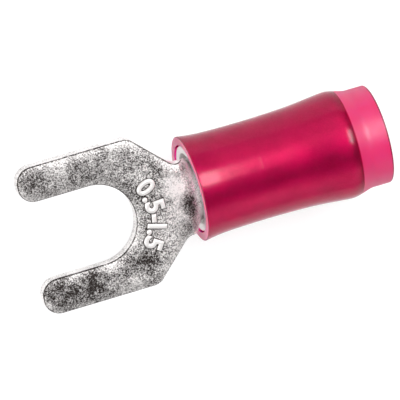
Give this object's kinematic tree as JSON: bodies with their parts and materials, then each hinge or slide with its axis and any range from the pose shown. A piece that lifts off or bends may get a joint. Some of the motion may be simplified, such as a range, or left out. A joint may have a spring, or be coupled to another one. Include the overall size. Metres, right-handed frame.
{
  "type": "fork terminal",
  "caption": "Insulated crimp fork terminal: a tinned flat fork for a screw or stud with a rolled wire barrel inside a metal grip sleeve and a red translucent sleeve.",
  "frame": {"origin": "stud axis at the middle of the sheet's thickness, at the centre of the slot's round end", "axes": "+X along the wire axis from the fork towards the wire entry, +Z out of the marked face of the tongue"},
  "size_m": [0.0197, 0.0082, 0.0058],
  "materials": {
    "tinned_copper": "satin",
    "tinned_sleeve": "satin",
    "red_nylon": "gloss"
  },
  "bodies": {
    "root": {"fork_body": "tinned_copper", "grip_sleeve": "tinned_sleeve", "insulating_sleeve": "red_nylon"}
  },
  "joints": []
}
